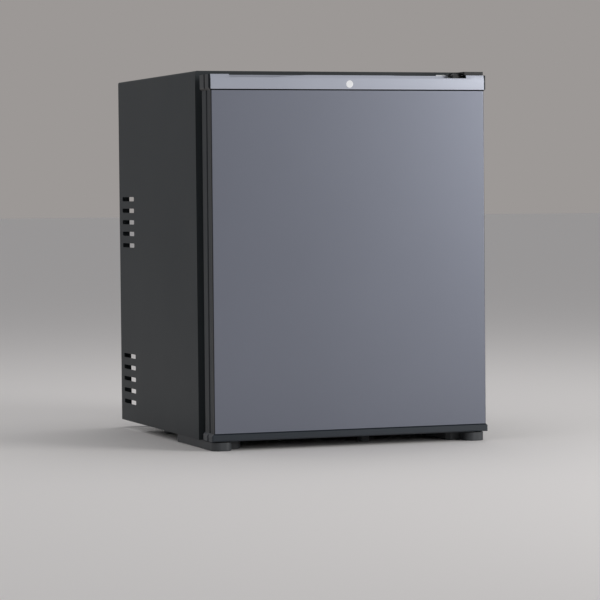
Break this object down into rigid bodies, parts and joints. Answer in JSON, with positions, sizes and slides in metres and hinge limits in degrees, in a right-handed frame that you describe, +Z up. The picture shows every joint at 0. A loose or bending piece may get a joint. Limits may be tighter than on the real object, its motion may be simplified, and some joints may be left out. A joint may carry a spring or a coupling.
{
  "type": "minibar fridge",
  "caption": "Small free-standing fridge: dark cabinet, side-hung blue-grey door with a waved finger grip, shelves and racks inside, open cooling unit behind.",
  "frame": {"origin": "on the floor, at the middle of the outline in plan", "axes": "+Z up, -Y towards the door's front, +X to the right as seen from the front (hinge side)"},
  "size_m": [0.4, 0.44, 0.51],
  "materials": {
    "cabinet_steel": "satin dark grey powder coat",
    "door_steel": "satin blue-grey coat",
    "cap_plastic": "gloss black",
    "profile_plastic": "fine-grained dark grey",
    "liner_plastic": "soft gloss white",
    "rack_plastic": "milky translucent look",
    "shelf_glass": "clear toughened sheet",
    "seal_rubber": "matt dark grey",
    "foam": "pale rigid foam",
    "wool": "fibrous",
    "foot_plastic": "matt black",
    "zinc_steel": "bright zinc plated",
    "unit_paint": "semi-matt black",
    "fin_aluminium": "mill finish",
    "tray_plastic": "matt pale grey",
    "lens_plastic": "frosted clear",
    "terminal_plastic": "matt charcoal",
    "bush_plastic": "waxy natural",
    "badge_metal": "bright blank disc"
  },
  "bodies": {
    "cabinet": {"outer_casing": "cabinet_steel", "base_pan": "cabinet_steel", "rear_crossbar": "cabinet_steel", "rear_panel": "cabinet_steel", "insulation": "foam", "inner_liner": "liner_plastic", "shelf_lower": "shelf_glass", "shelf_upper": "shelf_glass", "shelf_trims": "liner_plastic", "cooling_fins": "fin_aluminium", "drip_tray": "tray_plastic", "drain_tube": "tray_plastic", "control_housing": "liner_plastic", "lamp_lens": "lens_plastic", "thermostat": "terminal_plastic", "front_foot_left": "foot_plastic", "front_foot_right": "foot_plastic", "foot_screws": "zinc_steel", "rear_feet": "foot_plastic", "middle_foot": "foot_plastic", "upper_hinge_plate": "zinc_steel", "upper_hinge_cover": "cap_plastic", "hinge_screws": "zinc_steel", "hinge_pins": "zinc_steel", "hinge_washer": "bush_plastic", "absorber_vessel": "unit_paint", "absorber_coil": "unit_paint", "gas_pipe": "unit_paint", "condenser_pipe": "unit_paint", "rectifier_pipe": "unit_paint", "condenser_fins": "fin_aluminium", "heat_exchanger": "unit_paint", "boiler_casing": "unit_paint", "boiler_wool": "wool", "boiler_tube": "unit_paint", "heater_cartridge": "zinc_steel", "wall_plug": "cap_plastic", "vessel_brackets": "unit_paint", "bracket_screws": "zinc_steel", "evaporation_cup": "tray_plastic", "terminal_box": "terminal_plastic", "cable_gland": "terminal_plastic"},
    "door": {"door_panel": "door_steel", "door_profile_left": "profile_plastic", "door_profile_right": "profile_plastic", "door_top_cap": "cap_plastic", "door_bottom_cap": "cap_plastic", "blank_badge": "badge_metal", "door_foam": "foam", "door_liner": "liner_plastic", "door_seal": "seal_rubber", "rack_lower": "rack_plastic", "rack_upper": "rack_plastic", "bottle_rail": "zinc_steel", "hinge_bushes": "bush_plastic"},
    "knob": {"thermostat_knob": "rack_plastic", "thermostat_spindle": "zinc_steel"}
  },
  "joints": [
    {"name": "door_hinge", "type": "hinge", "parent": "cabinet", "child": "door", "pos_m": [0.183, -0.2, 0.255], "axis": [0, 0, 1], "range_deg": [0, 120]},
    {"name": "thermostat_turn", "type": "hinge", "parent": "cabinet", "child": "knob", "pos_m": [0.134, -0.0905, 0.459], "axis": [0, -1, 0], "range_deg": [0, 270]}
  ]
}
